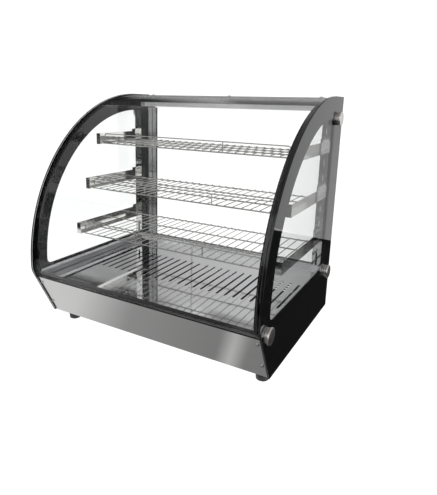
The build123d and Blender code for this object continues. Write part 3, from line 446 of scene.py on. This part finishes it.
window = window_outline()
bores = [circle(p, BORE_R) for p in CAP_POINTS]
holes = [circle(p, PRINT_HOLE_R) for p in CAP_POINTS]
for side, label, film_x in ((-1, "left", -INNER_X + FILM_IN), (1, "right", OUTER_X - FILM_IN)):
    faces_x = side * INNER_X, side * OUTER_X
    glass_mesh = plate(f"side_pane_{label}", [side_outline(0)] + bores, *faces_x, GROUND_EDGE)
    pane = add_piece(f"side_pane_{label}", glass_mesh, [M["side_glass"], M["edge"]])
    for face in glass_mesh.polygons:
        if abs(face.normal.x) < SIDEWAYS:
            face.material_index = 1
    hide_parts(f"side_glass_{label}")
    film = plate(
        f"side_print_{label}", [side_outline(PRINT_INSET), window] + holes,
        film_x - FILM_T / 2, film_x + FILM_T / 2)
    add_piece(f"side_print_{label}", film, [M["print"]])


# ---------------------------------------------------------------- print on the front glass
FRONT_INSET, GLASS_T, GLASS_LOW = 4, 5, 157
FRONT_X, PRINT_X, MIDDLE_X = 344.2, 330, 200
TOP_BAND_Y, LOW_BAND_Z = 60, 176
PRINT_GAP, PRINT_T = 0.3, 0.2


def curved_sheet(name, inset, x_stops, keep):
    """A sheet along the curved front; keep(y, z, x) says which of its cells are there."""
    line = front_edge(inset, GLASS_LOW, 2)
    work = bmesh.new()
    rows = [[work.verts.new((x * MM, y * MM, z * MM)) for x in x_stops] for y, z in line]
    for i in range(len(line) - 1):
        mid_y, mid_z = (line[i][0] + line[i + 1][0]) / 2, (line[i][1] + line[i + 1][1]) / 2
        for j in range(len(x_stops) - 1):
            if keep(mid_y, mid_z, (x_stops[j] + x_stops[j + 1]) / 2):
                upper, lower = rows[i], rows[i + 1]
                work.faces.new((upper[j], lower[j], lower[j + 1], upper[j + 1]))
    loose = [v for v in work.verts if not v.link_faces]
    bmesh.ops.delete(work, geom=loose, context="VERTS")
    bmesh.ops.recalc_face_normals(work, faces=work.faces)
    mesh = bpy.data.meshes.new(name)
    work.to_mesh(mesh)
    work.free()
    for face in mesh.polygons:
        face.use_smooth = True
    return mesh


border = curved_sheet(
    "front_print", FRONT_INSET + GLASS_T + PRINT_GAP,
    [-FRONT_X, -PRINT_X, -MIDDLE_X, 0, MIDDLE_X, PRINT_X, FRONT_X],
    lambda y, z, x: abs(x) > PRINT_X or y > TOP_BAND_Y or z < LOW_BAND_Z)
border_piece = add_piece("front_print", border, [M["print"]])
border_solid = border_piece.modifiers.new("thickness", "SOLIDIFY")
border_solid.thickness = PRINT_T * MM
border_solid.offset = 0


# ---------------------------------------------------------------- wire shelves
FRAME_WIRE, RACK_WIRE, LIP_WIRE = 4, 2.6, 3
RACK_PITCH, LOOP_CORNER = 25, 10
LIP_SIDE_IN, LIP_H, LIP_CORNER, POST_X = 28, 29, 8, 110
WIRE_TIP = FRAME_WIRE / 2 / cos(radians(30))  # the CAD frame wire is a hexagon
SHELF_HEIGHTS = {"top": 523, "middle": 389.5, "bottom": 256}


def wires(name, runs):
    """Round wires as one mesh; each run is (diameter, closed, points in millimetres)."""
    runs = [(diameter / 2, closed, points) for diameter, closed, points in runs]
    mesh = curve_mesh(
        name, "3D", runs, bevel_depth=MM, bevel_resolution=2, use_fill_caps=True)
    for face in mesh.polygons:
        face.use_smooth = len(face.vertices) == 4
    return mesh


def rounded_loop(half_x, front, rear, radius):
    """Closed rectangle with round corners, as (x, y) points."""
    inside_x, inside_front, inside_rear = half_x - radius, front + radius, rear - radius
    centers = ((inside_x, inside_rear), (-inside_x, inside_rear),
               (-inside_x, inside_front), (inside_x, inside_front))
    return [p for k, center in enumerate(centers) for p in quarter(center, radius, 90 * k)]


for shelf_name, z in SHELF_HEIGHTS.items():
    (_, low_y, _), (high_x, high_y, _) = box_mm(f"shelf_{shelf_name}")
    half_x, rear, front = high_x - WIRE_TIP, high_y - WIRE_TIP, low_y + WIRE_TIP
    loop = rounded_loop(half_x, front, rear, LOOP_CORNER)
    runs = [(FRAME_WIRE, True, [(x, y, z) for x, y in loop])]
    for third in (1, 2):
        y = front + (rear - front) * third / 3
        runs.append((FRAME_WIRE, False, [(-half_x, y, z), (half_x, y, z)]))
    half_count = int((half_x - RACK_PITCH / 2) / RACK_PITCH)
    rack_z = z + (FRAME_WIRE + RACK_WIRE) / 2
    for k in range(-half_count, half_count + 1):
        x = k * RACK_PITCH
        runs.append((RACK_WIRE, False, [(x, low_y, rack_z), (x, high_y, rack_z)]))
    lip_x = high_x - LIP_SIDE_IN
    bend_x, bend_z = lip_x - LIP_CORNER, z + LIP_H - LIP_CORNER
    rail = ([(lip_x, z)] + quarter((bend_x, bend_z), LIP_CORNER, 0)
            + quarter((-bend_x, bend_z), LIP_CORNER, 90) + [(-lip_x, z)])
    runs.append((LIP_WIRE, False, [(x, front, up) for x, up in rail]))
    for x in (-POST_X, POST_X):
        runs.append((LIP_WIRE, False, [(x, front, z), (x, front, z + LIP_H)]))
    piece_name = f"wires_{shelf_name}"
    rack = add_piece(piece_name, wires(piece_name, runs), [M["chrome"]],
                     f"shelf_{shelf_name}_body")
    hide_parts(f"shelf_{shelf_name}")


# ---------------------------------------------------------------- turned pieces
TURN_PIECES = 56
SHARP = radians(35)


def lathe(name, profile, axis, centers, sign=1):
    """Turned pieces as one mesh; the profile is (distance along the axis, radius)."""
    work = bmesh.new()
    for center in centers:
        rings = []
        for dist, radius in profile:
            ring = []
            for a, b in circle((0, 0), radius, TURN_PIECES):
                offset = (sign * dist, a, b) if axis == "x" else (a, b, dist)
                ring.append(work.verts.new([(c + o) * MM for c, o in zip(center, offset)]))
            rings.append(ring)
        for near, far in zip(rings, rings[1:]):
            for k in range(TURN_PIECES):
                after = (k + 1) % TURN_PIECES
                work.faces.new((near[k], near[after], far[after], far[k]))
        work.faces.new(rings[0])
        work.faces.new(rings[-1])
    bmesh.ops.recalc_face_normals(work, faces=work.faces)
    for edge in work.edges:
        edge.smooth = edge.calc_face_angle(0) <= SHARP
    mesh = bpy.data.meshes.new(name)
    work.to_mesh(mesh)
    work.free()
    for face in mesh.polygons:
        face.use_smooth = True
    return mesh


CAP_PROFILE = ((0, 17.6), (0.4, 18), (5.3, 18), (5.7, 17.3), (6.1, 17.3), (6.2, 19.3), (6.9, 20),
               (10.7, 20), (11.5, 19.6), (12, 18.6), (11.9, 17.6), (12, 16.8))
STUD_R, CAP_DISH = 4, 0.01
for sign, label in ((-1, "left"), (1, "right")):
    cap_low, cap_high = box_mm(f"side_caps_{label}")
    stud_end = min(abs(cap_low[0]), abs(cap_high[0])) - OUTER_X
    centers = [(sign * OUTER_X, y, z) for y, z in CAP_POINTS]
    profile = ((stud_end, STUD_R), (-CAP_DISH, STUD_R)) + CAP_PROFILE
    piece_name = f"turned_caps_{label}"
    cap_mesh = lathe(piece_name, profile, "x", centers, sign)
    caps = add_piece(piece_name, cap_mesh, [M["cap"]])
    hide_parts(f"side_caps_{label}")

FEET_AT = [(x, y, 0) for x in (-304, 317) for y in (-175, 225)]
foot_high = box_mm("feet")[1][2]
FOOT_PROFILE = (
    (0, 14.6), (0.4, 15.4), (1.2, 16), (foot_high - 0.6, 18.9), (foot_high, 18.6))
feet_mesh = lathe("turned_feet", FOOT_PROFILE, "z", FEET_AT)
feet = add_piece("turned_feet", feet_mesh, [M["rubber"]])
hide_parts("feet")


# ---------------------------------------------------------------- floor and background
FLOOR_SHARE, WHITE_LEVEL, SOFT_LEVEL = 0.95, 1.14, 0.45
WHITE = (1, 1, 1, 1)


def stage_sheet(name, corners):
    mesh = bpy.data.meshes.new(name)
    mesh.from_pydata(corners, [], [tuple(range(len(corners)))])
    obj = bpy.data.objects.new(name, mesh)
    bpy.context.scene.collection.objects.link(obj)
    return obj


def background_factor(tree):
    """1 for rays that show the background to the camera, in a mirror or through glass."""
    path = tree.nodes.new("ShaderNodeLightPath").outputs
    seen = maths(tree, "MAXIMUM", path["Is Camera Ray"], path["Is Glossy Ray"])
    return maths(tree, "MAXIMUM", seen, path["Is Transmission Ray"])


floor = stage_sheet("floor", [(-6, -6, 0), (6, -6, 0), (6, 8, 0), (-6, 8, 0)])
floor_mat = bpy.data.materials.new("pale_floor")
tree, surface = bare_tree(floor_mat)
matte = put(tree, "ShaderNodeBsdfDiffuse", {"Color": (0.85, 0.85, 0.85, 1)})
glow = put(tree, "ShaderNodeEmission", {"Color": WHITE, "Strength": WHITE_LEVEL})
share = maths(tree, "MULTIPLY", background_factor(tree), FLOOR_SHARE)
tree.links.new(mix_shader(tree, share, matte.outputs[0], glow.outputs[0]), surface)
paint(floor, floor_mat)

world = bpy.data.worlds.new("studio")
bpy.context.scene.world = world
tree, surface = bare_tree(world, "ShaderNodeOutputWorld")
soft = put(tree, "ShaderNodeBackground", {"Color": (0.95, 0.97, 1, 1), "Strength": SOFT_LEVEL})
white = put(tree, "ShaderNodeBackground", {"Color": WHITE, "Strength": WHITE_LEVEL})
both = mix_shader(tree, background_factor(tree), soft.outputs[0], white.outputs[0])
tree.links.new(both, surface)


# ---------------------------------------------------------------- studio cards, in metres
def card(name, corners, stops):
    """A studio card that only mirrors see; stops are (x, grey level) from left to right."""
    mat = bpy.data.materials.new(name)
    tree, surface = bare_tree(mat)
    coords = tree.nodes.new("ShaderNodeTexCoord")
    apart = tree.nodes.new("ShaderNodeSeparateXYZ")
    tree.links.new(coords.outputs["Object"], apart.inputs["Vector"])
    left, right = stops[0][0], stops[-1][0]
    place = ramp(tree, apart.outputs["X"], 0, 1, (left, right))
    fade = tree.nodes.new("ShaderNodeValToRGB")
    elements = fade.color_ramp.elements
    while len(elements) < len(stops):
        elements.new(0.5)
    for element, (x, grey) in zip(elements, stops):
        element.position = (x - left) / (right - left)
        element.color = (grey, grey, grey, 1)
    tree.links.new(place, fade.inputs["Fac"])
    glow = tree.nodes.new("ShaderNodeEmission")
    tree.links.new(fade.outputs["Color"], glow.inputs["Color"])
    tree.links.new(glow.outputs[0], surface)
    obj = stage_sheet(name, corners)
    paint(obj, mat)
    obj.visible_camera = False
    obj.visible_diffuse = False
    obj.visible_transmission = False
    obj.visible_shadow = False


def even(grey):
    """The same grey over the whole card."""
    return (-1, grey), (1, grey)


def lying(x0, x1, y0, y1, z):
    return [(x0, y0, z), (x1, y0, z), (x1, y1, z), (x0, y1, z)]


def standing(x0, x1, y, z0, z1):
    return [(x0, y, z0), (x1, y, z0), (x1, y, z1), (x0, y, z1)]


def hanging(start, end, z0, z1):
    """Upright card over the line from start to end in (x, y)."""
    return [(*start, z0), (*end, z0), (*end, z1), (*start, z1)]


BLACK, DIM, GREY = 0.004, 0.018, 0.55
FAR_LEFT, FAR_RIGHT, REAR_WALL = -4, 2, 2.5
WALL_LOW, WALL_DECK, WALL_TOP, WALL_END = 0.35, 0.98, 1.6, 3.2

card("card_right",
     [(0.36, -1.2, 0.005), (1.4, -1.2, 0.005), (1.4, 1.17, 0.005), (0.36, 1.07, 0.005)],
     even(DIM))
card("card_right_far",
     [(0.36, 1.0, 0.003), (1.0, 1.2, 0.003), (2, 3, 0.003), (5, 8, 0.003), (0.36, 8, 0.003)],
     even(GREY))
card("card_right_back", standing(0.3, 3.6, 7.9, 0, 1.5), even(GREY))
card("card_pillar", hanging((-0.17, 0.3), (-0.264, 0.454), 0.1, 0.64), even(0.04))
card("card_front", lying(-2.4, 0.5, -3.2, -0.8, 0.004), even(BLACK))
card("drape_front", hanging((-4, -2.2), (0.6, -3.4), 0, 0.8), even(BLACK))
card("card_table", lying(-0.6, 0.5, -0.79, -0.2, 0.004),
     ((-0.6, 0.85), (-0.3, 0.75), (-0.1, 0.35),
      (0.19, 0.26), (0.23, 0.6), (0.27, 0.26), (0.5, 0.24)))
card("card_rear_low", standing(FAR_LEFT, -0.3, REAR_WALL, WALL_LOW, WALL_DECK),
     ((FAR_LEFT, 0.02), (-2, 0.02), (-1, 0.35), (-0.3, 0.2)))
card("card_rear_mid", standing(FAR_LEFT, FAR_RIGHT, REAR_WALL, WALL_DECK, WALL_TOP),
     ((FAR_LEFT, 0.3), (-2.4, 0.36), (-1.5, 0.55), (-0.5, 0.62), (FAR_RIGHT, 0.6)))
card("card_rear_high", standing(FAR_LEFT, FAR_RIGHT, REAR_WALL, WALL_TOP, WALL_END),
     ((FAR_LEFT, 0.02), (-2.2, 0.05), (-1.4, 0.7), (-1.2, 0.3), (FAR_RIGHT, 0.5)))
card("card_ceiling", lying(FAR_LEFT, FAR_RIGHT, -3.4, REAR_WALL, 3.3),
     ((FAR_LEFT, 0.25), (-1.2, 0.25), (-0.9, 0.7), (-0.5, 0.25),
      (0.3, 0.3), (0.5, 0.8), (0.7, 0.4), (FAR_RIGHT, 0.3)))


# ---------------------------------------------------------------- lights
def soft_light(name, at, aim, size, power):
    data = bpy.data.lights.new(name, "AREA")
    data.shape = "RECTANGLE"
    data.size, data.size_y = size
    data.energy = power
    obj = bpy.data.objects.new(name, data)
    obj.location = at
    obj.rotation_euler = (Vector(aim) - Vector(at)).to_track_quat("-Z", "Y").to_euler()
    bpy.context.scene.collection.objects.link(obj)
    obj.visible_glossy = False


CASE_MIDDLE = (0, 0, 0.3)
soft_light("key", (-1.3, -1.9, 1.9), CASE_MIDDLE, (1.6, 1.2), 30)
soft_light("fill", (1.8, -1.5, 1.2), CASE_MIDDLE, (1.4, 1.4), 14)
soft_light("top", (0, 0.2, 2.4), (0, 0, 0), (2.0, 1.6), 22)

bpy.context.scene.view_settings.view_transform = "Standard"
